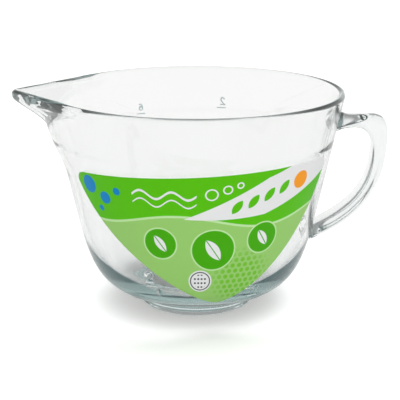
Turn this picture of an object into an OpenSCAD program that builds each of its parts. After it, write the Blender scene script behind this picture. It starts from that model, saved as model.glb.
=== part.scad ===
// Batter bowl: a deep pressed-glass mixing bowl with a pour spout, a strap handle and a film label.
// Millimetres, Z up. The foot stands on Z = 0 and the wall turns round the Z axis.
// The spout points along -X, the handle along +X and the label faces -Y.

/* [Bowl] */
// Outer diameter of the rim
rim_d = 203; // [190:1:216]
// Height of the rim above the surface that the bowl stands on
bowl_h = 151; // [140:1:165]
// Thickness of the wall
wall_t = 4.2; // [3.8:0.1:5]
// Outer diameter where the wall begins to turn in
shoulder_d = 171; // [162:1:178]
// Height where the wall begins to turn in
shoulder_h = 73; // [66:1:80]
// Depth below the rim of the ledge that marks two quarts on the inside
ledge_drop = 35; // [28:1:42]
// Width of that ledge
ledge_w = 0.5; // [0.3:0.1:0.8]
// Height over which the ledge steps out
ledge_rise = 3; // [2:0.5:4]

/* [Base] */
// Outer diameter of the foot ring
foot_d = 79.5; // [72:0.5:86]
// Width of the flat ring that touches the table
foot_w = 7; // [5:0.5:10]
// Height from the table to the bottom of the bowl's curve
foot_h = 7; // [5.5:0.5:8.5]
// Hollow under the base, inside the foot ring
recess_h = 1.5; // [0.8:0.1:2.5]
// Thickness of the glass at the middle of the base
base_t = 16.5; // [12:0.5:18]
// Diameter of the flat floor inside
floor_d = 94; // [84:1:100]

/* [Spout] */
// How far the lip stands out past the rim
spout_out = 25.5; // [20:0.5:30]
// Radius of the lip's tip, seen from above
tip_r = 9.7; // [7.5:0.1:12]
// Height of the upright band below the spout's rim
band_h = 6; // [5:0.5:8]
// Height of the upright edge inside the spout, above the channel
inner_band_h = 1; // [0.5:0.5:4]
// Slope of the channel under the lip, in degrees from level
channel_a = 33; // [28:1:40]
// How far the wall bulges out below the channel
throat_out = 6.2; // [3:0.1:7]
// Depth below the rim where the bulge is back in the wall
throat_drop = 57; // [50:1:64]

/* [Handle] */
// How far the handle stands out past the rim
handle_out = 30.8; // [28:0.1:35]
// Depth of the upper arm's middle below the rim
arm_drop = 21.3; // [18:0.1:26]
// Height where the lower arm's middle meets the wall
low_root_h = 50; // [46:1:58]
// Width of the strap
strap_w = 20; // [17:0.5:22]
// Thickness of the upper arm
arm_t = 8.4; // [8:0.1:10]
// Thickness of the grip
grip_t = 10.8; // [9:0.2:12]
// Thickness of the lower arm
low_t = 10.4; // [9:0.2:11]
// Reach of the upper corner's bend on the outside
bend_r = 12.6; // [11:0.1:15]
// Reach of the same bend on the inside, where the fingers go
inner_bend_r = 13.4; // [11:0.1:15]

/* [Label] */
// Height of the label's lowest point
label_low_h = 20; // [16:1:26]
// Depth below the rim of the label's upper edge
label_drop = 38; // [32:1:48]
// Angle round the bowl that the label covers
label_wrap_a = 122; // [100:1:132]
// Angle round the bowl from straight ahead to the label's middle
label_turn_a = 3; // [-6:1:10]
// Thickness of the film
film_t = 0.25; // [0.2:0.05:0.4]
// Thickness of the glue between the wall and the film
glue_t = 0.1; // [0.05:0.05:0.2]

/* [Hidden] */

overrun = 1;
glass = [0.82, 0.9, 0.9, 0.55];
label_green = [0.33, 0.7, 0.05];

rim_r = rim_d / 2;
lip_r = wall_t / 2;
lip_z = bowl_h - lip_r;
shoulder_r = shoulder_d / 2;
foot_r = foot_d / 2;
turn_steps = 18;
lip_steps = 8;

// Unit vector down the outside of the straight wall, and the same turned outwards as its normal
wall_len = norm([rim_r - shoulder_r, lip_z - shoulder_h]);
wall_down = [shoulder_r - rim_r, shoulder_h - lip_z] / wall_len;
wall_normal = [-wall_down[1], wall_down[0]];

function cubic(a, b, c, d, t) =
    pow(1 - t, 3) * a + 3 * pow(1 - t, 2) * t * b + 3 * (1 - t) * t * t * c + t * t * t * d;

function cubic_slope(a, b, c, d, t) =
    3 * (1 - t) * (1 - t) * (b - a) + 6 * (1 - t) * t * (c - b) + 3 * t * t * (d - c);

function unit(v) = v / norm(v);

// The outside turns in from the shoulder to the foot along one curve, given as [radius, height]
turn_top_share = 0.7;
turn_foot_share = 0.34;
foot_slope_a = 20;
turn_end = [foot_r + foot_h / 3, foot_h];
turn_a = [shoulder_r, shoulder_h];
turn_b = turn_a + turn_top_share * shoulder_h * wall_down;
turn_c = turn_end + turn_foot_share * shoulder_r * [cos(foot_slope_a), sin(foot_slope_a)];
function turn_pt(t) = cubic(turn_a, turn_b, turn_c, turn_end, t);
function turn_normal(t) =
    let (d = unit(cubic_slope(turn_a, turn_b, turn_c, turn_end, t))) [-d[1], d[0]];

// Radius of the outside at a height, on the straight wall and on the whole outside
function wall_r(z) = shoulder_r + (z - shoulder_h) * (rim_r - shoulder_r) / (lip_z - shoulder_h);
turn_table = [for (i = [turn_steps : -1 : 0]) let (p = turn_pt(i / turn_steps)) [p[1], p[0]]];
function outside_r(z) = z >= shoulder_h ? wall_r(z) : lookup(z, turn_table);

// The inside has its own curve, which leaves the base thicker than the wall and meets the floor at a crease
floor_z = recess_h + base_t;
inner_top_share = 0.35;
inner_floor_share = 0.3;
crease_a = 12;
inner_shift = wall_t / wall_normal[0];
ledge_z = bowl_h - ledge_drop;
inner_a = [shoulder_r - inner_shift, shoulder_h];
inner_b = inner_a + inner_top_share * shoulder_h * wall_down;
inner_d = [floor_d / 2, floor_z];
inner_c = inner_d + inner_floor_share * shoulder_r * [cos(crease_a), sin(crease_a)];
function inner_pt(t) = cubic(inner_a, inner_b, inner_c, inner_d, t);

// The ledge steps out by its width, on a slope from its lower edge to its top
ledge_top = ledge_z + ledge_rise;
function inner_r(z) =
    wall_r(z) - inner_shift + ledge_w * min(1, max(0, (z - ledge_z) / ledge_rise));

// The rim's round top at an angle, from 0 on the outside to 180 on the inside
function lip_pt(a) =
    let (out = wall_r(lip_z), in = inner_r(lip_z), half = (out - in) / 2)
    [(out + in) / 2 + half * cos(a), lip_z + lip_r * sin(a)];

module wall_profile() {
    foot_edge = foot_h / 3;
    polygon(concat(
        [[0, recess_h], [foot_r - foot_w - recess_h, recess_h], [foot_r - foot_w, 0], [foot_r - foot_edge, 0]],
        [for (a = [-60 : 30 : 0]) [foot_r - foot_edge + foot_edge * cos(a), foot_edge + foot_edge * sin(a)]],
        [for (i = [turn_steps : -1 : 0]) turn_pt(i / turn_steps)],
        [for (i = [0 : lip_steps]) lip_pt(180 * i / lip_steps)],
        [[inner_r(ledge_top), ledge_top], [inner_r(ledge_z), ledge_z]],
        [for (i = [0 : turn_steps]) inner_pt(i / turn_steps)],
        [[0, floor_z]]
    ));
}

// Filled outside of the bowl, used to end the handle on the wall
module wall_solid() {
    rotate_extrude($fn = 180) polygon(concat(
        [[0, foot_h]],
        [for (i = [turn_steps : -1 : 0]) turn_pt(i / turn_steps)],
        [[rim_r, lip_z], [0, lip_z]]
    ));
}

// Seen from above the spout's sides are two lines that touch the rim's circle and meet in a round tip
side_a = acos((rim_r - tip_r) / (rim_r + spout_out - tip_r));
edge_margin_a = 4;
spout_a = side_a + edge_margin_a;
spout_base_z = bowl_h - throat_drop;

// Distance from the axis to a V of two lines, at an angle from the spout's middle
function vee_r(a, line, tip) =
    let (centre = (line - tip) / cos(side_a),
         edge = atan2(tip * sin(side_a), centre + tip * cos(side_a)))
    abs(a) < edge
        ? centre * cos(a) + sqrt(tip * tip - pow(centre * sin(a), 2))
        : line / cos(max(0, side_a - abs(a)));

// The V draws in at the slope of the channel, below the upright band outside and from near the lip inside,
// which leaves the spout's edge a thick wedge
channel_rate = cos(side_a) / tan(channel_a);
channel_soft = band_h / 4;
inner_tip_r = tip_r - wall_t;
function draw_in(depth, start) =
    channel_rate * (sqrt(pow(depth - start, 2) + channel_soft * channel_soft) + depth - start
        - sqrt(start * start + channel_soft * channel_soft) + start) / 2;

// The bulge below the channel, wide and shallow, which fades out at the rim and at the spout's base
throat_a = side_a - edge_margin_a;
throat_top_share = 0.45;
throat_low_share = 0.58;
function ease(t) = let (c = min(1, max(0, t))) c * c * (3 - 2 * c);
function fade(depth) = ease((throat_drop - depth) / (throat_low_share * throat_drop));
function throat(a, depth) =
    throat_out * pow(cos(90 * min(1, abs(a) / throat_a)), 2)
    * fade(depth) * ease(depth / (throat_top_share * throat_drop));

// How far the spout's surface stands out from a plain wall of radius r. The V starts softly from the wall.
blend = 2.5;
start_soft = 0.8 * wall_t;
function swell(a, depth, r, line, tip) =
    let (gap = vee_r(a, line, tip) - r,
         soft = start_soft * ease((spout_a - abs(a)) / edge_margin_a) * ease(depth / band_h),
         vee = fade(depth) * (gap + sqrt(gap * gap + soft * soft)) / 2)
    abs(a) >= spout_a ? 0 : pow(pow(vee, blend) + pow(throat(a, depth), blend), 1 / blend);

function spout_outer(a, z) =
    let (depth = bowl_h - z, r = wall_r(z), line = rim_r - draw_in(depth, band_h))
    r + swell(a, depth, r, line, tip_r);

function spout_inner(a, z) =
    let (depth = bowl_h - z, r = inner_r(z), line = rim_r - wall_t - draw_in(depth, inner_band_h))
    r + swell(a, depth, r, line, inner_tip_r);

function spout_pt(r, a, z) = [-r * cos(a), -r * sin(a), z];

// Heights of the spout's rows, closer together near the rim, with the ledge's two edges among them
row_count = 22;
row_power = 1.35;
row_heights = [for (i = [0 : row_count]) lip_z - (lip_z - spout_base_z) * pow(1 - i / row_count, row_power)];
rows = concat(
    [for (z = row_heights) if (z < ledge_z - ledge_w) z],
    [ledge_z, ledge_top],
    [for (z = row_heights) if (z > ledge_top + ledge_w) z]
);

// Angles of the spout's columns, closer together at the tip
column_count = 44;
column_power = 1.6;
function column_a(j) =
    let (s = 2 * j / column_count - 1) sign(s) * spout_a * pow(abs(s), column_power);

// One column goes up the outside, over the lip and down the inside
function spout_column(a) =
    let (out = spout_outer(a, lip_z), in = spout_inner(a, lip_z), half = (out - in) / 2)
    concat(
        [for (z = rows) spout_pt(spout_outer(a, z), a, z)],
        [for (i = [1 : lip_steps - 1]) let (b = 180 * i / lip_steps)
            spout_pt((out + in) / 2 + half * cos(b), a, lip_z + lip_r * sin(b))],
        [for (i = [len(rows) - 1 : -1 : 0]) spout_pt(spout_inner(a, rows[i]), a, rows[i])]
    );

module loft(columns) {
    n = len(columns[0]);
    last = len(columns) - 1;
    polyhedron(
        points = [for (c = columns) each c],
        faces = concat(
            [for (j = [0 : last - 1]) for (i = [0 : n - 1])
                let (k = (i + 1) % n, a = j * n + i, b = j * n + k, c = (j + 1) * n + k, d = (j + 1) * n + i)
                each [[a, c, b], [a, d, c]]],
            [[for (i = [0 : n - 1]) i]],
            [[for (i = [n - 1 : -1 : 0]) last * n + i]]
        ),
        convexity = 6
    );
}

module spout_notch() {
    reach = rim_r + spout_out + overrun;
    translate([0, 0, spout_base_z]) linear_extrude(throat_drop + overrun)
        polygon([[0, 0], [-reach, reach * tan(spout_a)], [-reach, -reach * tan(spout_a)]]);
}

module bowl() {
    color(glass) difference() {
        rotate_extrude($fn = 180) wall_profile();
        spout_notch();
    }
}

module spout() {
    color(glass) loft([for (j = [0 : column_count]) spout_column(column_a(j))]);
}

// The strap lies between an outer and an inner line in the plane Y = 0, given as [distance from the axis, height]
arm_z = bowl_h - arm_drop;
arm_start = wall_r(arm_z) - 2 * wall_t;
low_slope_a = 23.5;
low_dir = [cos(low_slope_a), sin(low_slope_a)];
low_end = [outside_r(low_root_h) - wall_t, low_root_h - wall_t * tan(low_slope_a)];
arm_steps = 10;
bend_steps = 10;
low_steps = 24;

// One line: level along the arm, round the corner, then down one long curve to the lower root
function strap_line(x, z, bend, bend_share, low_shares, end) =
    let (a = [x - bend, z], b = [x, z - bend], run = b[1] - low_root_h)
    concat(
        [for (i = [0 : arm_steps - 1]) [arm_start + (a[0] - arm_start) * i / arm_steps, z]],
        [for (i = [0 : bend_steps - 1])
            cubic(a, a + [bend_share * bend, 0], b + [0, bend_share * bend], b, i / bend_steps)],
        [for (i = [0 : low_steps])
            cubic(b, b - [0, low_shares[0] * run], end + low_shares[1] * run * low_dir, end, i / low_steps)]
    );

grip_x = rim_r + handle_out;
low_normal = [low_dir[1], -low_dir[0]];
outer_bend_share = 0.72;
inner_bend_share = 0.56;
outer_low_shares = [0.55, 0.57];
inner_low_shares = [0.48, 0.54];
outer_line = strap_line(grip_x, arm_z + arm_t / 2, bend_r, outer_bend_share,
    outer_low_shares, low_end + low_normal * low_t / 2);
inner_line = strap_line(grip_x - grip_t, arm_z - arm_t / 2, inner_bend_r, inner_bend_share,
    inner_low_shares, low_end - low_normal * low_t / 2);

// Both roots spread where they run into the wall, and the upper one droops at its two edges
upper_root = [0.5 * strap_w, 0.5 * arm_t];
upper_reach = [1.3 * strap_w, 0.8 * arm_t];
lower_root = [0.3 * strap_w, 0];
lower_reach = [0.7 * strap_w, low_t];
edge_droop = 0.3 * arm_t;
function near_wall(p, reach) = pow(max(0, 1 - max(0, p[0] - outside_r(p[1])) / reach), 2);

// Section of the strap: a rounded oblong with flat sides at the grip, and an ellipse at the wall
section_points = 24;
grip_power = 3;
root_power = 2;
function oblong(a, width, thickness, power) =
    [sign(cos(a)) * pow(abs(cos(a)), 2 / power) * width / 2,
     sign(sin(a)) * pow(abs(sin(a)), 2 / power) * thickness / 2];

function strap_ring(j) =
    let (outer = outer_line[j], inner = inner_line[j], p = (outer + inner) / 2,
         t = norm(outer - inner), u = (outer - inner) / t, upper = j < arm_steps + bend_steps,
         root = upper ? upper_root : lower_root, reach = upper ? upper_reach : lower_reach,
         near = near_wall(p, reach[0]), power = grip_power + (root_power - grip_power) * near,
         w = strap_w + root[0] * near, h = t + root[1] * near_wall(p, reach[1]),
         droop = upper ? edge_droop * near : 0)
    [for (k = [0 : section_points - 1])
        let (q = oblong(360 * k / section_points, w, h, power),
             up = q[1] - droop * pow(2 * q[0] / w, 2))
        [p[0] + up * u[0], q[0], p[1] + up * u[1]]];

module handle() {
    color(glass) difference() {
        loft([for (j = [len(outer_line) - 1 : -1 : 0]) strap_ring(j)]);
        wall_solid();
    }
}

// The label's outline: across is a share of half its span, up is a share of its height
label_top_z = bowl_h - label_drop;
label_h = label_top_z - label_low_h;
label_tilt = label_h / 20;
label_crown = label_h / 42;
label_lean_a = 8;
label_side_share = 0.93;
label_corner_share = 0.08;
side_low_share = [0.25, 0.02];
side_high_share = [0.88, 0.52];
side_steps = 14;
corner_steps = 4;
edge_steps = 12;

function label_side(t) = cubic([0, 0], side_low_share, side_high_share, [1, label_side_share], t);
function label_corner(a) = [1 - label_corner_share + label_corner_share * cos(a),
    label_side_share + (1 - label_side_share) * sin(a)];

right_half = concat(
    [for (i = [0 : side_steps]) label_side(i / side_steps)],
    [for (i = [1 : corner_steps]) label_corner(90 * i / corner_steps)],
    [for (i = [1 : edge_steps]) [(1 - label_corner_share) * (1 - i / edge_steps), 1]]
);
label_outline = concat(
    right_half,
    [for (i = [len(right_half) - 2 : -1 : 1]) [-right_half[i][0], right_half[i][1]]]
);

// Place on the wall of a point of the outline, seen from the front as [x, z]
function label_xz(p) =
    let (z = label_low_h + p[1] * (label_h + p[0] * label_tilt - p[0] * p[0] * label_crown),
         a = label_turn_a + label_lean_a * (1 - p[1]) + p[0] * label_wrap_a / 2)
    [outside_r(z) * sin(a), z];

film_top_z = label_top_z + label_tilt;
film_path = concat(
    [for (i = [turn_steps : -1 : 0]) if (turn_pt(i / turn_steps)[1] > foot_h + overrun)
        [turn_pt(i / turn_steps), turn_normal(i / turn_steps)]],
    [[[wall_r(film_top_z), film_top_z], wall_normal]]
);

module label() {
    color(label_green) intersection() {
        rotate_extrude($fn = 180) polygon(concat(
            [for (s = film_path) s[0] + glue_t * s[1]],
            [for (i = [len(film_path) - 1 : -1 : 0]) film_path[i][0] + (glue_t + film_t) * film_path[i][1]]
        ));
        rotate([90, 0, 0]) linear_extrude(rim_r) polygon([for (p = label_outline) label_xz(p)]);
    }
}

bowl();
spout();
handle();
label();
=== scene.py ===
# %% [markdown]
# # A glass batter bowl
# This file dresses a CAD model of a pressed-glass batter bowl. The CAD model gives the sizes and
# the places. Here the glass gets a finer mesh and a glass material, the film label gets its print,
# and a small photo studio is set up round it.
# Lengths of the bowl are written in millimetres, as a glass maker would, and made metres at the end.

# %% Load the frame
import math

import bmesh
import bpy
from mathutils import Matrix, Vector


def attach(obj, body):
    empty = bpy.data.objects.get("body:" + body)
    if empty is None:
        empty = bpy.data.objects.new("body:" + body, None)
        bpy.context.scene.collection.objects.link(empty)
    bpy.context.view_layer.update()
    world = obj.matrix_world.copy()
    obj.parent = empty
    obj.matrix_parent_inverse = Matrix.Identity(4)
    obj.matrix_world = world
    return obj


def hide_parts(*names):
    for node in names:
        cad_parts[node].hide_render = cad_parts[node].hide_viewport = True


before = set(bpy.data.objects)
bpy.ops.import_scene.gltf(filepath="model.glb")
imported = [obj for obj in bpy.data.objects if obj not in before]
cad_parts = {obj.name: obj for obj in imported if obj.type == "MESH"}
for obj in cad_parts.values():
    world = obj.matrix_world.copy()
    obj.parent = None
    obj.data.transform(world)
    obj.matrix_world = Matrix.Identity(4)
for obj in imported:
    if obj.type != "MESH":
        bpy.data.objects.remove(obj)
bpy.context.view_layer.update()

# %% [markdown]
# ## The camera
# The photo was taken from a little above the rim, with a long lens. The ellipse of the rim gives the
# angle above level (15.9 degrees). The distance (0.8 m) comes from a fit of the whole outline and is
# less certain. The camera looks along +Y, so one turn about X points it, and it needs no target.

# %% Camera
ABOVE_LEVEL_DEG = 15.903
AIM = Vector((0, 0, 0.071835))
DISTANCE = 0.8
FRAME_PX, FOCAL_PX, SENSOR_MM = 400, 1133.06, 36
SHIFT_SHARE = 0.0086

camera_data = bpy.data.cameras.new("camera")
camera_data.sensor_width = SENSOR_MM
camera_data.lens = FOCAL_PX / FRAME_PX * SENSOR_MM
camera_data.shift_x = SHIFT_SHARE
camera = bpy.data.objects.new("camera", camera_data)
tilt = math.radians(ABOVE_LEVEL_DEG)
camera.location = AIM + DISTANCE * Vector((0, -math.cos(tilt), math.sin(tilt)))
camera.rotation_euler = (math.pi / 2 - tilt, 0, 0)
bpy.context.collection.objects.link(camera)
bpy.context.scene.camera = camera
bpy.context.scene.view_settings.view_transform = "Standard"
print("camera at", [round(c, 3) for c in camera.location], "lens", round(camera_data.lens, 1))

# %% [markdown]
# ## The shape of the wall
# Seen in section the wall is one line: out from the middle of the base, round the foot, up the
# outside, over the round lip and down the inside to the floor. The straight part and the curves are
# the same as in the CAD, with more points, because glass shows every facet. The ledge inside is a
# little softer than the CAD's, because a sharp step would show as a dark line.

# %% Sizes of the basin
RIM_R, BOWL_H, WALL_T = 101.5, 151, 4.2
SHOULDER_R, SHOULDER_H = 85.5, 73
FOOT_R, FOOT_W, FOOT_H = 39.75, 7, 7
RECESS_H, BASE_T, FLOOR_R = 1.5, 16.5, 47
LEDGE_Z, LEDGE_W, LEDGE_RISE = 116, 0.3, 5
LIP_R = WALL_T / 2
LIP_Z = BOWL_H - LIP_R
FLOOR_Z = RECESS_H + BASE_T
FOOT_EDGE_R = FOOT_H / 3


def cubic(a, b, c, d, t):
    """A point of the curve with ends a and d, drawn towards b and c."""
    s = 1 - t
    return s * s * s * a + 3 * s * s * t * b + 3 * s * t * t * c + t * t * t * d


def ease(t):
    """0 below 0, 1 above 1 and an S between them."""
    t = min(1, max(0, t))
    return t * t * (3 - 2 * t)


def heading(degrees):
    """A step of length 1 at an angle above level."""
    a = math.radians(degrees)
    return Vector((math.cos(a), math.sin(a)))


print("floor at", FLOOR_Z, "mm, lip's middle at", LIP_Z, "mm")

# %% The lines of the wall
OUTER_PULL_SHARES, OUTER_END_DEG = (0.7, 0.34), 20
INNER_PULL_SHARES, INNER_END_DEG = (0.35, 0.3), 12
CURVE_STEPS = 200

wall_down = Vector((SHOULDER_R - RIM_R, SHOULDER_H - LIP_Z)).normalized()
wall_normal = Vector((-wall_down.y, wall_down.x))
INNER_SHIFT = WALL_T / wall_normal.x
shoulder = Vector((SHOULDER_R, SHOULDER_H))
turn_end = Vector((FOOT_R + FOOT_EDGE_R, FOOT_H))
turn = [
    shoulder,
    shoulder + OUTER_PULL_SHARES[0] * SHOULDER_H * wall_down,
    turn_end + OUTER_PULL_SHARES[1] * SHOULDER_R * heading(OUTER_END_DEG),
    turn_end,
]
inner_start = Vector((SHOULDER_R - INNER_SHIFT, SHOULDER_H))
inner_end = Vector((FLOOR_R, FLOOR_Z))
inner_turn = [
    inner_start,
    inner_start + INNER_PULL_SHARES[0] * SHOULDER_H * wall_down,
    inner_end + INNER_PULL_SHARES[1] * SHOULDER_R * heading(INNER_END_DEG),
    inner_end,
]


def wall_r(z):
    """Radius of the outside on the straight wall."""
    return SHOULDER_R + (z - SHOULDER_H) * (RIM_R - SHOULDER_R) / (LIP_Z - SHOULDER_H)


def inner_r(z):
    """Radius of the inside on the straight wall, a little wider above the ledge."""
    return wall_r(z) - INNER_SHIFT + LEDGE_W * ease((z - LEDGE_Z) / LEDGE_RISE)


turn_points = [cubic(*turn, i / CURVE_STEPS) for i in range(CURVE_STEPS + 1)]


def outside_r(z):
    """Radius of the outside at any height, found on the curve below the shoulder."""
    if z >= SHOULDER_H:
        return wall_r(z)
    for low, high in zip(turn_points[1:], turn_points):
        if low.y <= z <= high.y:
            return low.x + (high.x - low.x) * (z - low.y) / (high.y - low.y)
    return turn_end.x


print("outside radius at 20, 60 and 120 mm:", [round(outside_r(z), 1) for z in (20, 60, 120)])

# %% [markdown]
# ## The pour spout
# From above the spout's sides are two straight lines that touch the rim's circle and meet in a round
# tip. Lower down the two lines draw in, at the slope of the channel, and a shallow bulge runs out
# into the wall. The spout is therefore not a separate piece of mesh: the wall itself is pushed out,
# by an amount that depends on the angle round the bowl and on the depth below the rim. The push
# begins softly, over twelve degrees, because glass would show a sudden start as a dark line.

# %% How far the spout stands out
SPOUT_OUT, TIP_R, BAND_H, INNER_BAND_H = 25.5, 9.7, 6, 1
CHANNEL_DEG, THROAT_OUT, THROAT_DROP = 33, 6.2, 57
FADE_SHARE, THROAT_SHARE, BLEND_POWER = 0.58, 0.45, 2.5
SPOUT_BASE_Z = BOWL_H - THROAT_DROP
SIDE = math.acos((RIM_R - TIP_R) / (RIM_R + SPOUT_OUT - TIP_R))
EDGE_MARGIN, SOFT_MARGIN = math.radians(4), math.radians(12)
SPOUT_HALF = SIDE + SOFT_MARGIN
CHANNEL_RATE = math.cos(SIDE) / math.tan(math.radians(CHANNEL_DEG))
CHANNEL_SOFT = BAND_H / 4
START_SOFT = 0.8 * WALL_T


def vee_r(a, line, tip):
    """Distance from the axis to the two lines and their round tip, at an angle from the spout."""
    centre = (line - tip) / math.cos(SIDE)
    edge = math.atan2(tip * math.sin(SIDE), centre + tip * math.cos(SIDE))
    if abs(a) < edge:
        return centre * math.cos(a) + math.sqrt(tip * tip - (centre * math.sin(a)) ** 2)
    return line / math.cos(max(0, SIDE - abs(a)))


def draw_in(depth, start):
    """How far the two lines have drawn in at a depth, with a soft start under the band."""
    soft = CHANNEL_SOFT**2
    here = math.sqrt((depth - start) ** 2 + soft) + depth - start
    at_rim = math.sqrt(start * start + soft) - start
    return CHANNEL_RATE * (here - at_rim) / 2


def swell(a, depth, r, line, tip):
    """How far the wall of radius r is pushed out."""
    if abs(a) >= SPOUT_HALF:
        return 0
    fade = ease((THROAT_DROP - depth) / (FADE_SHARE * THROAT_DROP))
    gap = vee_r(a, line, tip) - r
    begin = ease((SPOUT_HALF - abs(a)) / SOFT_MARGIN)
    soft = START_SOFT * begin * ease(depth / BAND_H)
    vee = begin * fade * (gap + math.sqrt(gap * gap + soft * soft)) / 2
    reach = math.cos(math.pi / 2 * min(1, abs(a) / (SIDE - EDGE_MARGIN))) ** 2
    throat = THROAT_OUT * reach * fade * ease(depth / (THROAT_SHARE * THROAT_DROP))
    return (vee**BLEND_POWER + throat**BLEND_POWER) ** (1 / BLEND_POWER)


def spout_outer(a, z):
    """Radius of the outside at an angle from the spout's middle."""
    r, depth = wall_r(z), BOWL_H - z
    return r + swell(a, depth, r, RIM_R - draw_in(depth, BAND_H), TIP_R)


def spout_inner(a, z):
    """Radius of the inside at an angle from the spout's middle."""
    r, depth = inner_r(z), BOWL_H - z
    return r + swell(a, depth, r, RIM_R - WALL_T - draw_in(depth, INNER_BAND_H), TIP_R - WALL_T)


print("spout tip at", round(spout_outer(0, LIP_Z), 1), "mm, half angle", round(math.degrees(SIDE), 1))

# %% [markdown]
# ## One wall, spun
# A lathe shape starts as a line of vertices and is spun about Z. Each vertex of the line carries its
# row number in a layer of the mesh, and spin copies that layer, so afterwards every vertex knows
# where on the section it is. Then one pass puts each vertex on the real wall, spout included. The
# columns crowd together at the spout and at the handle, where the shape changes fastest.

# %% The section of the wall, row by row
OUTSIDE, LIP, INSIDE, PLAIN = "outside", "lip", "inside", "plain"
BASE_RINGS, FLOOR_RINGS = (0, 8, 16, 22, 26), (36, 24, 12, 0)
HOLLOW_EASE, HOLLOW_TOP_SHARE, FLOOR_EASE = 1.2, 0.86, 0.5
RING_EDGE = ((-0.5, 0.25), (0.2, 0))
RING_FLANK = ((0.25, 3.6), (0.8, 5.2), (1.6, 6.4))
WALL_ROWS_Z = (80, 87)
TURN_ROWS, UPPER_ROWS, LIP_ROWS, LEDGE_ROWS, LEDGE_GAP = 34, 38, 12, 6, 0.4
TURN_CROWD, INNER_TURN_CROWD, UPPER_CROWD = 1.15, 1.2, 1.3

down_shares = [(1 - i / UPPER_ROWS) ** UPPER_CROWD for i in range(UPPER_ROWS + 1)]
heights = [LIP_Z - (LIP_Z - SPOUT_BASE_Z) * share for share in down_shares]


def foot_rows():
    """From the middle of the base, out of the hollow, under the foot ring and up its outer edge."""
    ring_r = FOOT_R - FOOT_W
    hollow_r = ring_r - RECESS_H
    found = [(PLAIN, r, RECESS_H) for r in (*BASE_RINGS, hollow_r - HOLLOW_EASE)]
    found.append((PLAIN, hollow_r, RECESS_H * HOLLOW_TOP_SHARE))
    found += [(PLAIN, ring_r + off, z) for off, z in RING_EDGE]
    found.append((PLAIN, FOOT_R - FOOT_W / 2, 0))
    for degrees in range(-90, 1, 15):
        a = math.radians(degrees)
        r = FOOT_R - FOOT_EDGE_R + FOOT_EDGE_R * math.cos(a)
        found.append((PLAIN, r, FOOT_EDGE_R + FOOT_EDGE_R * math.sin(a)))
    return found + [(PLAIN, FOOT_R + off, z) for off, z in RING_FLANK]


def outer_rows():
    """Round the turn above the foot and up the outside to the lip."""
    found = [(PLAIN, *cubic(*turn, 1 - (i / TURN_ROWS) ** TURN_CROWD)) for i in range(TURN_ROWS)]
    found += [(PLAIN, wall_r(z), z) for z in (SHOULDER_H, *WALL_ROWS_Z)]
    return found + [(OUTSIDE, 0, z) for z in heights]


def lip_rows():
    """Over the round lip, with the angle in place of the radius."""
    return [(LIP, math.radians(180 * i / LIP_ROWS), LIP_Z) for i in range(1, LIP_ROWS)]


def inner_rows():
    """Down the inside, past the ledge and round the turn, to the middle of the floor."""
    above = [z for z in reversed(heights) if z > LEDGE_Z + LEDGE_RISE + LEDGE_GAP]
    ledge = [LEDGE_Z + LEDGE_RISE * k / LEDGE_ROWS for k in range(LEDGE_ROWS, -1, -1)]
    below = [z for z in reversed(heights) if z < LEDGE_Z - LEDGE_GAP]
    found = [(INSIDE, 0, z) for z in above + ledge + below]
    found += [(PLAIN, inner_r(z), z) for z in reversed(WALL_ROWS_Z)]
    for i in range(TURN_ROWS + 1):
        found.append((PLAIN, *cubic(*inner_turn, 1 - (1 - i / TURN_ROWS) ** INNER_TURN_CROWD)))
    return found + [(PLAIN, r, FLOOR_Z) for r in (FLOOR_R - FLOOR_EASE, *FLOOR_RINGS)]


def place(row, a):
    """The point of a row at an angle from the spout's middle, in millimetres."""
    kind, r, z = row
    if kind == OUTSIDE:
        r = spout_outer(a, z)
    elif kind == INSIDE:
        r = spout_inner(a, z)
    elif kind == LIP:
        out, inn = spout_outer(a, LIP_Z), spout_inner(a, LIP_Z)
        z = LIP_Z + LIP_R * math.sin(r)
        r = (out + inn) / 2 + (out - inn) / 2 * math.cos(r)
    return Vector((-r * math.cos(a), -r * math.sin(a), z))


rows = foot_rows() + outer_rows() + lip_rows() + inner_rows()
print("rows in the section:", len(rows))

# %% Spin the basin
COLUMNS = 320
CROWD = 0.62
WELD = 1e-4
START_R = {OUTSIDE: 100, LIP: WALL_T, INSIDE: 90}


def spin_basin():
    """The basin with its spout as one closed shell, in millimetres."""
    bm = bmesh.new()
    row_layer = bm.verts.layers.int.new("row")
    line = []
    for i, (kind, r, _) in enumerate(rows):
        v = bm.verts.new((-START_R.get(kind, r), 0, i))
        v[row_layer] = i
        line.append(v)
    for lower, upper in zip(line, line[1:]):
        bm.edges.new((lower, upper))
    bmesh.ops.spin(bm, geom=bm.verts[:] + bm.edges[:], cent=(0, 0, 0), axis=(0, 0, 1),
                   angle=2 * math.pi, steps=COLUMNS, use_merge=True)
    last = len(rows) - 1
    for v in bm.verts:
        i = v[row_layer]
        if i in (0, last):
            v.co = (0, 0, rows[i][2])
            continue
        a = math.atan2(-v.co.y, -v.co.x)
        a -= CROWD / 2 * math.sin(2 * a)
        v.co = place(rows[i], a)
    bmesh.ops.remove_doubles(bm, verts=bm.verts[:], dist=WELD)
    bmesh.ops.recalc_face_normals(bm, faces=bm.faces[:])
    return bm


basin = spin_basin()
print("basin:", len(basin.verts), "vertices,", len(basin.faces), "faces")

# %% [markdown]
# ## The strap handle
# The strap is drawn by two lines in the plane through the middle of the handle: one for its outside
# and one for its inside. A ring of vertices is extruded from station to station between the two
# lines. Near the wall the ring grows wider and its edges droop, as the glass does where the two
# halves of the mould meet. Both ends stop inside the wall, so that a union joins them. The raised
# figures further down are swept by the same function.

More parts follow.
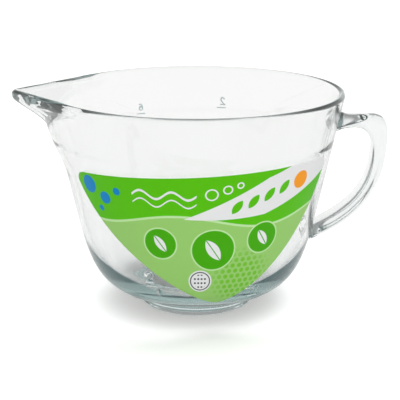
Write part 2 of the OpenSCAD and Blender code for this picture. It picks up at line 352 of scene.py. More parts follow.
# %% The strap's two lines
STRAP_W, ARM_T, GRIP_T, LOW_T = 20, 8.4, 10.8, 10.4
GRIP_OUT, ARM_DROP = 30.8, 21.3
LOW_ROOT_H, LOW_DEG = 50, 23.5
OUTER_BEND, OUTER_BEND_SHARE, OUTER_LOW_SHARES = 12.6, 0.72, (0.55, 0.57)
INNER_BEND, INNER_BEND_SHARE, INNER_LOW_SHARES = 13.4, 0.56, (0.48, 0.54)
ROOT_SINK = 0.55 * WALL_T
ARM_STEPS, BEND_STEPS, LOW_STEPS = 26, 14, 52

ARM_Z = BOWL_H - ARM_DROP
ARM_START = wall_r(ARM_Z) - ROOT_SINK
LOW_DIR = heading(LOW_DEG)
LOW_NORMAL = Vector((LOW_DIR.y, -LOW_DIR.x))
low_drop = ROOT_SINK * math.tan(math.radians(LOW_DEG))
LOW_END = Vector((outside_r(LOW_ROOT_H) - ROOT_SINK, LOW_ROOT_H - low_drop))


def strap_line(x, z, bend, bend_share, low_shares, end):
    """Level along the arm, round the corner, then one long curve to the lower root."""
    a, b = Vector((x - bend, z)), Vector((x, z - bend))
    run = b.y - LOW_ROOT_H
    arm = [Vector((ARM_START + (a.x - ARM_START) * i / ARM_STEPS, z)) for i in range(ARM_STEPS)]
    corner = [
        cubic(a, a + Vector((bend_share * bend, 0)), b + Vector((0, bend_share * bend)), b, i / BEND_STEPS)
        for i in range(BEND_STEPS)
    ]
    b_pull, end_pull = b - Vector((0, low_shares[0] * run)), end + low_shares[1] * run * LOW_DIR
    low = [cubic(b, b_pull, end_pull, end, i / LOW_STEPS) for i in range(LOW_STEPS + 1)]
    return arm + corner + low


grip_x = RIM_R + GRIP_OUT
outer_line = strap_line(grip_x, ARM_Z + ARM_T / 2, OUTER_BEND, OUTER_BEND_SHARE, OUTER_LOW_SHARES,
                        LOW_END + LOW_NORMAL * LOW_T / 2)
inner_line = strap_line(grip_x - GRIP_T, ARM_Z - ARM_T / 2, INNER_BEND, INNER_BEND_SHARE, INNER_LOW_SHARES,
                        LOW_END - LOW_NORMAL * LOW_T / 2)
print("stations on the strap:", len(outer_line))

# %% The ring at each station
SPOKES = 44
# By which arm of the strap: growth in width and height at the wall, and how far each reaches
ROOT_GROWTH = {"upper": (0.5 * STRAP_W, 0.5 * ARM_T), "lower": (0.3 * STRAP_W, 0)}
ROOT_REACH = {"upper": (1.3 * STRAP_W, 0.8 * ARM_T), "lower": (0.7 * STRAP_W, LOW_T)}
ROOT_DROOP = {"upper": 0.3 * ARM_T, "lower": 0}
# How square the two halves of the ring are, and how much of that is lost at the wall
INNER_SQUARE, INNER_LOSS = 4.2, 2.2
OUTER_SQUARE, OUTER_LOSS = 2.4, 0.4


def near_wall(p, reach):
    """1 on the wall, 0 at reach millimetres from it."""
    return max(0, 1 - max(0, p.x - outside_r(p.y)) / reach) ** 2


def strap_ring(j):
    """The points of the strap's section at station j."""
    outer, inner = outer_line[j], inner_line[j]
    middle, t = (outer + inner) / 2, (outer - inner).length
    across = (outer - inner) / t
    root = "upper" if j < ARM_STEPS + BEND_STEPS else "lower"
    near = near_wall(middle, ROOT_REACH[root][0])
    inner_power = 2 / (INNER_SQUARE - INNER_LOSS * near)
    outer_power = 2 / (OUTER_SQUARE - OUTER_LOSS * near)
    width = STRAP_W + ROOT_GROWTH[root][0] * near
    height = t + ROOT_GROWTH[root][1] * near_wall(middle, ROOT_REACH[root][1])
    droop = ROOT_DROOP[root] * near
    points = []
    for k in range(SPOKES):
        c, s = math.cos(2 * math.pi * k / SPOKES), math.sin(2 * math.pi * k / SPOKES)
        power = outer_power if s > 0 else inner_power
        y = math.copysign(abs(c) ** power, c) * width / 2
        up = math.copysign(abs(s) ** power, s) * height / 2 - droop * (2 * y / width) ** 2
        points.append(Vector((middle.x + up * across.x, y, middle.y + up * across.y)))
    return points


print("points in a ring:", len(strap_ring(0)))

# %% Sweep a ring of vertices
def sweep(bm, rings):
    """A closed rod in bm: one ring of vertices, extruded from each list of points to the next."""
    spoke = bm.verts.layers.int.get("spoke") or bm.verts.layers.int.new("spoke")
    ring = bmesh.ops.create_circle(bm, cap_ends=False, segments=len(rings[0]), radius=1)["verts"]
    edges = [e for v in ring for e in v.link_edges if e.verts[0] == v]
    for k, v in enumerate(ring):
        v[spoke] = k
    ends = [edges]
    for i, points in enumerate(rings):
        if i:
            grown = bmesh.ops.extrude_edge_only(bm, edges=edges)["geom"]
            ring = [g for g in grown if isinstance(g, bmesh.types.BMVert)]
            edges = [g for g in grown if isinstance(g, bmesh.types.BMEdge)]
            edges = [e for e in edges if e.verts[0] in ring and e.verts[1] in ring]
        for v in ring:
            v.co = points[v[spoke]]
    ends.append(edges)
    for loop in ends:
        bmesh.ops.contextual_create(bm, geom=loop)


strap = bmesh.new()
sweep(strap, [strap_ring(j) for j in range(len(outer_line))])
bmesh.ops.recalc_face_normals(strap, faces=strap.faces[:])
print("strap:", len(strap.verts), "vertices,", len(strap.faces), "faces")

# %% [markdown]
# ## Raised figures
# Measuring bowls carry raised figures and short level lines, pressed in the mould. Each figure is a
# few strokes in a box one unit high. A stroke becomes a low ridge with sloping sides that follows
# the wall: its foot lies a little inside the glass and its top stands a little proud. The figures on
# the far wall are worn almost flat, so they stand less proud than those near the base.

# %% Strokes of the figures
STROKES = {
    "1": [[(0.1, 0.8), (0.3, 1), (0.3, 0)]],
    "2": [[(0, 0.78), (0.07, 0.93), (0.2, 1), (0.38, 1), (0.52, 0.9), (0.55, 0.72), (0.45, 0.5), (0, 0)],
          [(0, 0), (0.58, 0)]],
    "6": [[(0.48, 0.95), (0.25, 0.95), (0.08, 0.7), (0.02, 0.35), (0.12, 0.08), (0.3, 0), (0.5, 0.1),
           (0.57, 0.32), (0.45, 0.54), (0.25, 0.56), (0.06, 0.42)]],
    "line": [[(-0.3, 0), (1.1, 0)]],
}
# Each figure's name, degrees from straight ahead, height above the table, own height, and how proud
FIGURES = [
    ("1", -21.5, 24, 6.5, 0.4),
    ("2", -25, 36, 7, 0.4),
    ("line", -25, 33, 6, 0.4),
    ("2", 31, 24.5, 6, 0.4),
    ("line", 31, 22, 6, 0.4),
    ("2", 167, 122, 5, 0.13),
    ("line", 167, 119.5, 5, 0.13),
    ("6", 206, 119, 5, 0.13),
    ("line", 206, 116.5, 5, 0.13),
]
RIDGE_FOOT, RIDGE_TOP, RIDGE_SINK = 0.6, 0.2, 0.03


def wall_spot(angle, z, lift):
    """A point that lies lift millimetres off the wall, at an angle from straight ahead."""
    r = outside_r(z)
    slope = outside_r(z + 0.5) - outside_r(z - 0.5)
    normal = Vector((1, -slope)).normalized()
    a = math.radians(angle)
    out = r + lift * normal.x
    return Vector((out * math.sin(a), -out * math.cos(a), z + lift * normal.y))


def ridge_rings(stroke, angle, z, tall, proud):
    """The section of a stroke's low ridge at each of its corners."""
    per_mm = math.degrees(1 / outside_r(z))
    sunk = -proud - RIDGE_SINK
    spots = [Vector((x * tall, y * tall)) for x, y in stroke]
    rings = []
    for i, spot in enumerate(spots):
        ahead = spots[min(i + 1, len(spots) - 1)] - spots[max(i - 1, 0)]
        side = Vector((-ahead.y, ahead.x)).normalized()
        ring = []
        for off, lift in ((-RIDGE_FOOT, sunk), (-RIDGE_TOP, proud), (RIDGE_TOP, proud), (RIDGE_FOOT, sunk)):
            at = spot + side * off
            ring.append(wall_spot(angle + at.x * per_mm, z + at.y, lift))
        rings.append(ring)
    return rings


# All figures and level lines are one mesh of low ridges, in millimetres
figures = bmesh.new()
for name, *spot in FIGURES:
    for stroke in STROKES[name]:
        sweep(figures, ridge_rings(stroke, *spot))
bmesh.ops.recalc_face_normals(figures, faces=figures.faces[:])
print("figures:", len(figures.faces), "faces")

# %% [markdown]
# ## One piece of glass
# Light bends wherever it crosses from air to glass, so a surface left inside the glass would show.
# A union takes away what lies inside. The Boolean modifier does it, and its result is taken as the
# finished mesh, which is then scaled from millimetres to metres.

# %% Join the basin and the strap
MM = 0.001


def to_object(bm, name, smooth=True):
    """An object from a bmesh in millimetres, sitting at the origin in metres."""
    bmesh.ops.scale(bm, vec=(MM, MM, MM), verts=bm.verts[:])
    for face in bm.faces:
        face.smooth = smooth
    mesh = bpy.data.meshes.new(name)
    bm.to_mesh(mesh)
    bm.free()
    obj = bpy.data.objects.new(name, mesh)
    bpy.context.collection.objects.link(obj)
    return obj


def take_union(base, tool, crossing=False):
    """base with tool joined to it by the exact solver. tool, whose parts may be crossing, is removed."""
    union = base.modifiers.new("join", "BOOLEAN")
    union.operation = "UNION"
    union.solver = "EXACT"
    union.object = tool
    union.use_self = crossing
    joined = bpy.data.meshes.new_from_object(base.evaluated_get(bpy.context.evaluated_depsgraph_get()))
    base.modifiers.clear()
    base.data = joined
    bpy.data.objects.remove(tool)
    return base


glass = take_union(to_object(basin, "glass_body"), to_object(strap, "strap"))
glass = take_union(glass, to_object(figures, "figures", smooth=False), crossing=True)
check = bmesh.new()
check.from_mesh(glass.data)
open_edges = sum(1 for e in check.edges if not e.is_manifold)
print("glass:", len(check.verts), "vertices,", len(check.faces), "faces,", open_edges, "open edges")
check.free()

# %% [markdown]
# ## The glass
# Clear soda-lime glass bends light with an index of 1.51, mirrors about 4 in 100 parts head on, and
# takes a little red out of light that travels far inside it, which is why thick parts look
# blue-green. The surface of pressed glass is never quite flat: a faint wide ripple from the mould
# goes into the bump.
# Two helps are needed, because a path tracer follows few bounces. Rays that only ask how much light
# reaches the floor or the label pass straight through with a tint. The tint is strong in the foot,
# whose thick glass bends light away, and so the foot gets its dark shadow. And a ray that still runs
# to and fro inside the glass after five bounces gets a painted glow in place of trapped light: teal in
# the base and lighter in its rear half, dark grey in the spout and the handle, pale in the rim.

# %% Helpers for node sums
class Sums:
    """Builds Math nodes in a node tree. Every call returns the result's socket."""

    def __init__(self, tree):
        self.tree = tree

    def math(self, operation, *values, clamp=False):
        """One Math node. values are sockets or numbers."""
        node = self.tree.nodes.new("ShaderNodeMath")
        node.operation = operation
        node.use_clamp = clamp
        for socket, value in zip(node.inputs, values):
            if isinstance(value, (int, float)):
                socket.default_value = value
            else:
                self.tree.links.new(value, socket)
        return node.outputs[0]

    def add(self, a, b):
        """a + b"""
        return self.math("ADD", a, b)

    def sub(self, a, b):
        """a - b"""
        return self.math("SUBTRACT", a, b)

    def mul(self, a, b):
        """a times b"""
        return self.math("MULTIPLY", a, b)

    def inside(self, distance, soft=0.25):
        """1 where distance is below 0, with an edge as soft as a print's."""
        return self.math("DIVIDE", self.sub(soft / 2, distance), soft, clamp=True)

    def disc(self, x, y, cx, cy, r):
        """Distance to a disc, below 0 inside it."""
        dx, dy = self.sub(x, cx), self.sub(y, cy)
        return self.sub(self.math("SQRT", self.add(self.mul(dx, dx), self.mul(dy, dy))), r)

    def both(self, a, b):
        """The overlap of two shapes."""
        return self.mul(a, b)

    def dot(self, x, y, cx, cy, r):
        """1 inside a disc."""
        return self.inside(self.disc(x, y, cx, cy, r))

    def stripe(self, offset, half):
        """1 where offset lies within half of 0."""
        return self.inside(self.sub(self.math("ABSOLUTE", offset), half))

    def repeat(self, value, step, lead=0.0):
        """The place of value + lead within its step, from minus half a step to half a step."""
        return self.sub(self.math("MODULO", self.add(value, lead), step), step / 2)

    def fall(self, value, end, over):
        """1, falling to 0 at end over the stretch before it."""
        return self.math("DIVIDE", self.sub(end, value), over, clamp=True)

    def rise(self, value, start, over):
        """0, rising from start to 1 over the stretch after it."""
        return self.math("DIVIDE", self.sub(value, start), over, clamp=True)

    def paint(self, under, mask, colour):
        """colour over under where mask is 1."""
        node = self.tree.nodes.new("ShaderNodeMix")
        node.data_type = "RGBA"
        self.tree.links.new(mask, node.inputs["Factor"])
        for socket, value in ((node.inputs[6], under), (node.inputs[7], colour)):
            if isinstance(value, tuple):
                socket.default_value = (*value, 1)
            else:
                self.tree.links.new(value, socket)
        return node.outputs[2]


def new_material(name):
    """A material with an empty node tree, the tree's nodes and links, and its output node."""
    mat = bpy.data.materials.new(name)
    mat.use_nodes = True
    nodes = mat.node_tree.nodes
    nodes.clear()
    return mat, nodes, mat.node_tree.links, nodes.new("ShaderNodeOutputMaterial")


print("helpers for materials:", [name for name in vars(Sums) if not name.startswith("_")])

# %% Clear glass with a ripple
GLASS_IOR = 1.51
RIPPLE_SCALE, RIPPLE_DETAIL = 38, 1.5
RIPPLE_STRENGTH, RIPPLE_HEIGHT = 0.12, 0.0006


def clear_glass(nodes, links, place_node):
    """A surface that bends and mirrors light, with the mould's ripple in its bump."""
    body = nodes.new("ShaderNodeBsdfPrincipled")
    body.inputs["Base Color"].default_value = (1, 1, 1, 1)
    body.inputs["Roughness"].default_value = 0.0
    body.inputs["IOR"].default_value = GLASS_IOR
    body.inputs["Transmission Weight"].default_value = 1
    ripple = nodes.new("ShaderNodeTexNoise")
    ripple.inputs["Scale"].default_value = RIPPLE_SCALE
    ripple.inputs["Detail"].default_value = RIPPLE_DETAIL
    links.new(place_node.outputs["Object"], ripple.inputs["Vector"])
    bump = nodes.new("ShaderNodeBump")
    bump.inputs["Strength"].default_value = RIPPLE_STRENGTH
    bump.inputs["Distance"].default_value = RIPPLE_HEIGHT
    links.new(ripple.outputs["Fac"], bump.inputs["Height"])
    links.new(bump.outputs["Normal"], body.inputs["Normal"])
    return body.outputs["BSDF"]


print("index of refraction:", GLASS_IOR)

# %% Light that passes and light that is trapped
FOOT_TOP, FOOT_SOFT = 0.029, 0.017
CLEAR_TINT, FOOT_TINT = (0.98, 0.985, 0.985), (0.42, 0.42, 0.415)
BASE_TOP, BASE_SOFT = 0.05, 0.025
REAR_START, REAR_SOFT = 0.02, 0.03
# Colours of the painted glow that stands in for trapped light: base front and rear, rim sides and middle
FRONT_BASE_GLOW, REAR_BASE_GLOW = (0.055, 0.105, 0.11), (0.42, 0.5, 0.485)
MIDDLE_END, MIDDLE_SOFT = 0.085, 0.03
SIDE_RIM_GLOW, MIDDLE_RIM_GLOW = (0.075, 0.081, 0.079), (0.34, 0.36, 0.355)


def passing_light(n, nodes, links, spot):
    """Straight through with a tint, which is strong in the foot."""
    through = nodes.new("ShaderNodeBsdfTransparent")
    in_foot = n.fall(spot["Z"], FOOT_TOP, FOOT_SOFT)
    links.new(n.paint(CLEAR_TINT, in_foot, FOOT_TINT), through.inputs["Color"])
    return through.outputs["BSDF"]


def painted_trapped_glow(n, nodes, links, spot):
    """A painted glow in place of light that runs to and fro in the base, and of that in the rim and the
    sides.
    """
    glow = nodes.new("ShaderNodeEmission")
    rear = n.rise(spot["Y"], REAR_START, REAR_SOFT)
    middle = n.fall(n.math("ABSOLUTE", spot["X"]), MIDDLE_END, MIDDLE_SOFT)
    base, rim = n.paint(FRONT_BASE_GLOW, rear, REAR_BASE_GLOW), n.paint(SIDE_RIM_GLOW, middle, MIDDLE_RIM_GLOW)
    in_base = n.fall(spot["Z"], BASE_TOP, BASE_SOFT)
    links.new(n.paint(rim, in_base, base), glow.inputs["Color"])
    return glow.outputs["Emission"]


print("the foot's tint reaches up to", FOOT_TOP, "m, the base's colour up to", BASE_TOP, "m")

# %% Glass material
BOUNCES = 5
DEPTH_TINT, DEPTH_DENSITY = (0.49, 0.81, 0.79, 1), 4


def mix_shaders(nodes, links, share, first, second):
    """first where share is 0, second where it is 1."""
    mix = nodes.new("ShaderNodeMixShader")
    for socket, value in zip(mix.inputs, (share, first, second)):
        links.new(value, socket)
    return mix.outputs["Shader"]


def make_glass():
    """Clear glass with a faint blue-green depth and a mould ripple."""
    mat, nodes, links, output = new_material("pressed_glass")
    n = Sums(mat.node_tree)
    place_node = nodes.new("ShaderNodeTexCoord")
    split = nodes.new("ShaderNodeSeparateXYZ")
    links.new(place_node.outputs["Object"], split.inputs[0])
    path = nodes.new("ShaderNodeLightPath").outputs
    lighting = n.math("MAXIMUM", path["Is Shadow Ray"], path["Is Diffuse Ray"])
    surface = clear_glass(nodes, links, place_node)
    surface = mix_shaders(nodes, links, lighting, surface, passing_light(n, nodes, links, split.outputs))
    # After five bounces the glass shows a painted glow in place of the light trapped in it
    is_deep = n.math("GREATER_THAN", path["Ray Depth"], BOUNCES)
    surface = mix_shaders(nodes, links, is_deep, surface, painted_trapped_glow(n, nodes, links, split.outputs))
    links.new(surface, output.inputs["Surface"])
    depth = nodes.new("ShaderNodeVolumeAbsorption")
    depth.inputs["Color"].default_value = DEPTH_TINT
    depth.inputs["Density"].default_value = DEPTH_DENSITY
    links.new(depth.outputs["Volume"], output.inputs["Volume"])
    return mat


glass_material = make_glass()
glass.data.materials.clear()
glass.data.materials.append(glass_material)
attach(glass, "root")
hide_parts("bowl", "spout", "handle")
print("glass material has", len(glass_material.node_tree.nodes), "nodes")

# %% [markdown]
# ## The label
# The label is a thin film stuck on the outside of the wall. A flat grid is the easiest start: its
# rows are squeezed to the label's outline, its columns are wrapped round the wall, and solidify
# gives it a thickness. A UV map keeps the flat place of each point, so the print can be drawn flat
# and still follow the glass.

# %% The outline of the film
LABEL_LOW, LABEL_TOP = 20, 113
LABEL_H = LABEL_TOP - LABEL_LOW
LABEL_WRAP, LABEL_TURN, LABEL_LEAN = 122, 3, 8
# The top edge leans and sags by these parts of the label's height
LEAN_PART, SAG_PART = 20, 42
CORNER, SIDE_TOP = 0.08, 0.93
SIDE_SHARES = ((0, 0), (0.25, 0.02), (0.88, 0.52), (1, SIDE_TOP))

side_ends = [Vector(share) for share in SIDE_SHARES]
side_curve = [cubic(*side_ends, i / CURVE_STEPS) for i in range(CURVE_STEPS + 1)]


def half_width(up):
    """Half the label's width as a share, at a share of its height."""
    if up > SIDE_TOP:
        s = min(1, (up - SIDE_TOP) / (1 - SIDE_TOP))
        return 1 - CORNER + CORNER * math.sqrt(1 - s * s)
    for low, high in zip(side_curve, side_curve[1:]):
        if low.y <= up <= high.y:
            return low.x + (high.x - low.x) * (up - low.y) / max(1e-9, high.y - low.y)
    return 0


def label_spot(across, up):
    """Angle in degrees and height in millimetres of a point of the flat label."""
    z = LABEL_LOW + up * (LABEL_H + across * LABEL_H / LEAN_PART - across * across * LABEL_H / SAG_PART)
    return LABEL_TURN + LABEL_LEAN * (1 - up) + across * LABEL_WRAP / 2, z


print("label:", LABEL_H, "mm high; half way up it is", round(half_width(0.5), 2), "of its full width")

# %% The film
FILM_IN, FILM_T = 0.1, 0.25
FILM_COLUMNS, FILM_ROWS, ROW_CROWD = 150, 110, 0.3
FLAT_TURN, FLAT_LOW, FLAT_H = 70, 10, 115


def lay_film():
    """The film as a closed thin sheet with a UV map, in millimetres."""
    bm = bmesh.new()
    bmesh.ops.create_grid(bm, x_segments=FILM_COLUMNS, y_segments=FILM_ROWS, size=1)
    uv = bm.loops.layers.uv.new("flat")
    spots = {}
    for v in bm.verts:
        up = (v.co.y + 1) / 2
        up = up * (1 - ROW_CROWD + ROW_CROWD * up)
        spots[v] = label_spot(v.co.x * half_width(up), up)
    for face in bm.faces:
        for loop in face.loops:
            angle, z = spots[loop.vert]
            loop[uv].uv = ((angle + FLAT_TURN) / (2 * FLAT_TURN), (z - FLAT_LOW) / FLAT_H)
    for v, (angle, z) in spots.items():
        v.co = wall_spot(angle, z, FILM_IN)
    bmesh.ops.remove_doubles(bm, verts=bm.verts[:], dist=WELD)
    bmesh.ops.recalc_face_normals(bm, faces=bm.faces[:])
    if sum(f.normal.y for f in bm.faces) > 0:
        bmesh.ops.reverse_faces(bm, faces=bm.faces[:])
    bmesh.ops.solidify(bm, geom=bm.faces[:], thickness=-FILM_T)
    return bm


label = to_object(lay_film(), "label_film")
print("label:", len(label.data.vertices), "vertices")

# %% [markdown]
# ## The print
# Such a film is printed in a few flat inks, here greens with white, blue and orange. The design is
# made of plain shapes: a green upper band with a wavy edge, waves, rings and bubbles, a white swoosh
# with a row of leaves, three round badges, a dotted field and a round seal. A picture would blur up
# close, so each shape is a small sum on the flat place of a point, in millimetres, which gives clean
# edges at any size. Each function below paints one motif over the colour that it is given.

# %% The flat place and the inks
FLAT_R = 86
VIVID, PALE, DEEP = (0.09, 0.5, 0.0), (0.3, 0.58, 0.15), (0.055, 0.38, 0.0)
LIGHT, SPECK = (0.5, 0.76, 0.36), (0.16, 0.5, 0.03)
WHITE, INK = (0.78, 0.78, 0.79), (0.05, 0.055, 0.06)
BLUE, ORANGE = (0.0, 0.22, 0.54), (0.9, 0.32, 0.01)


def flat_place(n, nodes, links):
    """How far across and up a point of the unrolled label is, in millimetres."""
    uv = nodes.new("ShaderNodeUVMap")
    uv.uv_map = "flat"
    split = nodes.new("ShaderNodeSeparateXYZ")
    links.new(uv.outputs["UV"], split.inputs[0])
    x = n.mul(n.sub(split.outputs[0], 0.5), 2 * FLAT_TURN * math.pi / 180 * FLAT_R)
    return x, n.add(n.mul(split.outputs[1], FLAT_H), FLAT_LOW)


print("the flat label is", round(2 * FLAT_TURN * math.pi / 180 * FLAT_R), "mm wide on its UV map")

# %% Ground, band and swoosh
TILE, TILE_ROW_SHARE, SPECK_R, SPECK_SOFT = 4.6, 0.866, 1.55, 0.5
FIELD, FIELD_SOFT = (32, 40, 19), 12
WAVE_START, WAVE_RATE, WAVE_H, WAVE_Z, WAVE_EDGE = 40, 0.055, 4.5, 82, 1.6
SWOOSH_START, SWOOSH_Z, SWOOSH_SLOPE, SWOOSH_BEND = 8, 84, 0.18, 0.0014
SWOOSH_SPREAD, SWOOSH_HALF = 0.24, 12.5


def dotted_field(n, x, y, colour):
    """Rows of darker dots, every other row moved by half a tile, that fade out towards a round edge."""
    row_h = TILE * TILE_ROW_SHARE
    row = n.math("FLOOR", n.math("DIVIDE", y, row_h))
    shift = n.mul(n.math("MODULO", n.math("ABSOLUTE", row), 2), TILE / 2)
    tile_x, tile_y = n.repeat(n.add(x, shift), TILE, 100 * TILE), n.repeat(y, row_h)
    dots = n.inside(n.disc(tile_x, tile_y, 0, 0, SPECK_R), SPECK_SOFT)
    field = n.inside(n.disc(x, y, *FIELD), FIELD_SOFT)
    return n.paint(colour, n.both(dots, field), SPECK)


def upper_band(n, x, y, colour):
    """A green band above a wavy edge, with a light line along it."""
    wave = n.add(n.mul(n.math("SINE", n.mul(n.add(x, WAVE_START), WAVE_RATE)), WAVE_H), WAVE_Z)
    colour = n.paint(colour, n.inside(n.sub(n.sub(wave, WAVE_EDGE), y)), LIGHT)
    return n.paint(colour, n.inside(n.sub(wave, y)), VIVID)


def swoosh(n, x, y, colour):
    """A white stripe that rises and widens to the right."""
    run = n.add(x, SWOOSH_START)
    bend = n.mul(n.mul(run, run), SWOOSH_BEND)
    centre = n.add(n.add(n.mul(run, SWOOSH_SLOPE), bend), SWOOSH_Z)
    half = n.math("MINIMUM", n.mul(run, SWOOSH_SPREAD), SWOOSH_HALF)
    return n.paint(colour, n.stripe(n.sub(y, centre), half), WHITE)


print("the band's edge is between", WAVE_Z - WAVE_H, "and", WAVE_Z + WAVE_H, "mm up")

# %% Leaves and badges
LEAF_ROW = ((25, 91.5), (35.5, 94.5), (46, 98), (56.5, 101.5))
LEAF_SIDE, LEAF_RISE, LEAF_R = 3.4, -2.4, 6.8
BADGES = ((-24, 66, 10.5), (11, 62, 14), (45, 68, 10.5))
BADGE_EDGE, RIB_HALF, RIB_X, RIB_Y = 1, 0.35, 0.83, 0.55
BADGE_SIDE_SHARE, BADGE_RISE_SHARE, BADGE_LEAF_SHARE = 0.48, 0.66, 0.86


def leaf(n, x, y, cx, cy, side, rise, r):
    """A leaf is the overlap of two discs to either side of its middle."""
    return n.both(n.dot(x, y, cx - side, cy - rise, r), n.dot(x, y, cx + side, cy + rise, r))


def leaf_row(n, x, y, colour):
    """A row of green leaves along the swoosh."""
    for cx, cy in LEAF_ROW:
        colour = n.paint(colour, leaf(n, x, y, cx, cy, LEAF_SIDE, LEAF_RISE, LEAF_R), VIVID)
    return colour


def badges(n, x, y, colour):
    """Three round badges of two sizes with a ribbed leaf in each."""
    for cx, cy, r in BADGES:
        colour = n.paint(colour, n.dot(x, y, cx, cy, r + BADGE_EDGE), LIGHT)
        colour = n.paint(colour, n.dot(x, y, cx, cy, r), DEEP)
        side = BADGE_SIDE_SHARE * r
        blade = leaf(n, x, y, cx, cy, side, BADGE_RISE_SHARE * side, BADGE_LEAF_SHARE * r)
        colour = n.paint(colour, blade, WHITE)
        across = n.add(n.mul(n.sub(x, cx), RIB_X), n.mul(n.sub(y, cy), RIB_Y))
        colour = n.paint(colour, n.both(blade, n.stripe(across, RIB_HALF)), DEEP)
    return colour


print("leaves:", len(LEAF_ROW) + len(BADGES))

# %% Seal, bubbles, waves and rings
SEAL, SEAL_RING, SEAL_RING_HALF = (2.5, 39, 8.3), 1.4, 0.4
SEAL_STEP_X, SEAL_STEP_Y, SEAL_LEAD, SEAL_DOT_R, SEAL_MARGIN = 2.4, 3.2, 300, 0.75, 3
ORANGE_DISC = (70, 104, 6)
BLUE_DISCS = ((-74, 100, 6), (-61, 93, 4.2), (-51, 99, 2.6), (-66, 85, 2))
SWAY_RATE, SWAY_H, SWAY_MIDDLE, SWAY_HALF = 0.32, 2.6, 20, 20
SWAY_LINES = ((100, 0.8), (94.5, 0.5))
RINGS, RING_HALF = ((9, 101, 3.6), (18.5, 104, 2.6), (26, 106.5, 1.8)), 0.45


def seal(n, x, y, colour):
    """A white round seal with an ink ring and rows of ink dots."""
    edge = n.disc(x, y, *SEAL)
    colour = n.paint(colour, n.inside(edge), WHITE)
    colour = n.paint(colour, n.stripe(n.add(edge, SEAL_RING), SEAL_RING_HALF), INK)
    dot_x, dot_y = n.repeat(x, SEAL_STEP_X, SEAL_LEAD), n.repeat(y, SEAL_STEP_Y, SEAL_LEAD)
    dots = n.both(n.dot(dot_x, dot_y, 0, 0, SEAL_DOT_R), n.inside(n.add(edge, SEAL_MARGIN)))
    return n.paint(colour, dots, INK)


def bubbles(n, x, y, colour):
    """An orange disc on the swoosh and blue discs at the left."""
    colour = n.paint(colour, n.dot(x, y, *ORANGE_DISC), ORANGE)
    for disc in BLUE_DISCS:
        colour = n.paint(colour, n.dot(x, y, *disc), BLUE)
    return colour


def waves_and_rings(n, x, y, colour):
    """Two white wave lines and three white rings on the band."""
    sway = n.mul(n.math("SINE", n.mul(x, SWAY_RATE)), SWAY_H)
    length = n.stripe(n.add(x, SWAY_MIDDLE), SWAY_HALF)
    for line_y, half in SWAY_LINES:
        wave = n.stripe(n.sub(y, n.add(sway, line_y)), half)
        colour = n.paint(colour, n.both(length, wave), WHITE)
    for ring in RINGS:
        colour = n.paint(colour, n.stripe(n.disc(x, y, *ring), RING_HALF), WHITE)
    return colour


print("discs:", 1 + len(BLUE_DISCS), "wave lines:", len(SWAY_LINES), "rings:", len(RINGS))

# %% [markdown]
# ## The film's finish
# A printed film has a slight sheen, which a very fine grain breaks up. The grain goes into the
# roughness and, faintly, into the bump.

# %% The label's material
FILM_GLOSS = 0.12
GRAIN_SCALE, GRAIN_ROUGH, GRAIN_VARY = 260, 0.3, 0.16
GRAIN_STRENGTH, GRAIN_HEIGHT = 0.08, 0.0002


def make_print():
    """Printed film: the design in its colour, and a slight sheen."""
    mat, nodes, links, output = new_material("printed_film")
    n = Sums(mat.node_tree)
    x, y = flat_place(n, nodes, links)
    colour = PALE
    for motif in (dotted_field, upper_band, swoosh, leaf_row, badges, seal, bubbles, waves_and_rings):
        colour = motif(n, x, y, colour)
    grain = nodes.new("ShaderNodeTexNoise")
    grain.inputs["Scale"].default_value = GRAIN_SCALE
    place_node = nodes.new("ShaderNodeTexCoord")
    links.new(place_node.outputs["Object"], grain.inputs["Vector"])
    film = nodes.new("ShaderNodeBsdfPrincipled")
    links.new(colour, film.inputs["Base Color"])
    film.inputs["Specular IOR Level"].default_value = FILM_GLOSS
    links.new(n.add(n.mul(grain.outputs["Fac"], GRAIN_VARY), GRAIN_ROUGH), film.inputs["Roughness"])
    bump = nodes.new("ShaderNodeBump")
    bump.inputs["Strength"].default_value = GRAIN_STRENGTH
    bump.inputs["Distance"].default_value = GRAIN_HEIGHT
    links.new(grain.outputs["Fac"], bump.inputs["Height"])
    links.new(bump.outputs["Normal"], film.inputs["Normal"])
    links.new(film.outputs["BSDF"], output.inputs["Surface"])
    return mat


print_material = make_print()
label.data.materials.append(print_material)
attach(label, "root")
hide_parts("label")
print("print material has", len(print_material.node_tree.nodes), "nodes")

# %% [markdown]
# ## The studio
# The photo has a white sweep and soft light. Glass on white is drawn by what is dark round it: the
# rim, the spout and the handle bend light so far that they show the dim ceiling of the room, and
# that makes their lines. So the world is white near the horizon and dimmer overhead. Two soft suns
# light the bowl evenly: one from above, which keeps the shadow close to the foot, and one from the
# front for the label. The floor is made a little brighter for the camera, so that it meets the white
# background without an edge.

# %% Floor
FLOOR_COLOUR, FLOOR_SEEN = (0.78, 0.78, 0.775), (0.87, 0.87, 0.865)
FLOOR_GLOW, FLOOR_GLOW_SEEN = 0.02, 0.18
FLOOR_HALF, FLOOR_DROP = 6, 0.0002


def make_floor():
    """A white floor that keeps the bowl's shadow. Seen by the camera it is a little brighter."""
    mat, nodes, links, output = new_material("white_floor")
    n = Sums(mat.node_tree)
    seen = nodes.new("ShaderNodeLightPath").outputs["Is Camera Ray"]
    paper = nodes.new("ShaderNodeBsdfDiffuse")
    links.new(n.paint(FLOOR_COLOUR, seen, FLOOR_SEEN), paper.inputs["Color"])
    glow = nodes.new("ShaderNodeEmission")
    glow.inputs["Color"].default_value = (1, 1, 1, 1)
    links.new(n.add(n.mul(seen, FLOOR_GLOW_SEEN), FLOOR_GLOW), glow.inputs["Strength"])
    both = nodes.new("ShaderNodeAddShader")
    links.new(paper.outputs["BSDF"], both.inputs[0])
    links.new(glow.outputs["Emission"], both.inputs[1])
    links.new(both.outputs["Shader"], output.inputs["Surface"])
    return mat


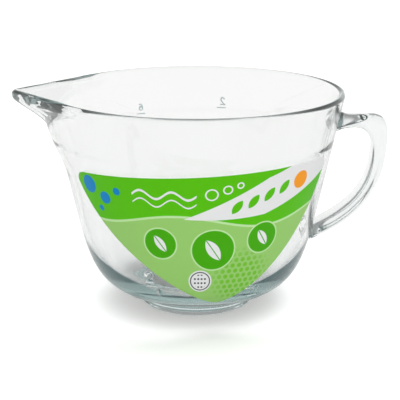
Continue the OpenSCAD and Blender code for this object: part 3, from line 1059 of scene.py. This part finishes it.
floor_bm = bmesh.new()
bmesh.ops.create_grid(floor_bm, x_segments=1, y_segments=1, size=FLOOR_HALF)
floor_mesh = bpy.data.meshes.new("floor")
floor_bm.to_mesh(floor_mesh)
floor_bm.free()
floor = bpy.data.objects.new("floor", floor_mesh)
floor.location.z = -FLOOR_DROP
bpy.context.collection.objects.link(floor)
floor.data.materials.append(make_floor())
print("floor:", 2 * FLOOR_HALF, "m square")

# %% World
# Where on the sky, from the horizon (0) to overhead (1), and how bright
SKY = ((0.0, 0.95), (0.22, 0.88), (0.36, 0.5), (0.5, 0.32), (0.8, 0.34), (1.0, 0.4))
SOFT_LIGHT, FULL_WHITE = 0.6, 1.0


def grey(level):
    """A grey as bright as level."""
    return (level, level, level)


def make_world():
    """White for the camera, plain for the shading, and for glass white at the horizon and dim overhead."""
    world = bpy.data.worlds.new("studio")
    bpy.context.scene.world = world
    world.use_nodes = True
    nodes, links = world.node_tree.nodes, world.node_tree.links
    nodes.clear()
    n = Sums(world.node_tree)
    coords = nodes.new("ShaderNodeTexCoord")
    split = nodes.new("ShaderNodeSeparateXYZ")
    links.new(coords.outputs["Generated"], split.inputs[0])
    ramp = nodes.new("ShaderNodeValToRGB")
    stops = ramp.color_ramp.elements
    for position, _ in SKY[1:-1]:
        stops.new(position)
    for stop, (position, level) in zip(stops, SKY):
        stop.position = position
        stop.color = (*grey(level), 1)
    links.new(split.outputs["Z"], ramp.inputs["Fac"])
    path = nodes.new("ShaderNodeLightPath").outputs
    shading = n.math("GREATER_THAN", path["Diffuse Depth"], 0)
    sky = n.paint(ramp.outputs["Color"], shading, grey(SOFT_LIGHT))
    sky = n.paint(sky, path["Is Camera Ray"], grey(FULL_WHITE))
    background = nodes.new("ShaderNodeBackground")
    links.new(sky, background.inputs["Color"])
    output = nodes.new("ShaderNodeOutputWorld")
    links.new(background.outputs["Background"], output.inputs["Surface"])
    return world


world = make_world()
print("world:", world.name)

# %% Lamps
LAMP_AIM = Vector((0, 0, 0.08))
# Each sun's name, the side that it comes from, how wide it is in degrees, and its strength
SUNS = (("key", (0.25, 0.2, 1.6), 40, 1.35), ("fill", (0.25, -1.2, 1.0), 60, 0.9))


def soft_sun(name, place, spread, power):
    """A wide soft light that comes from the side of place and is as strong everywhere on the floor."""
    data = bpy.data.lights.new(name, "SUN")
    data.angle = math.radians(spread)
    data.energy = power
    lamp = bpy.data.objects.new(name, data)
    lamp.location = place
    lamp.rotation_euler = (LAMP_AIM - Vector(place)).to_track_quat("-Z", "Y").to_euler()
    lamp.visible_glossy = False
    lamp.visible_transmission = False
    bpy.context.collection.objects.link(lamp)


for sun in SUNS:
    soft_sun(*sun)

# %% [markdown]
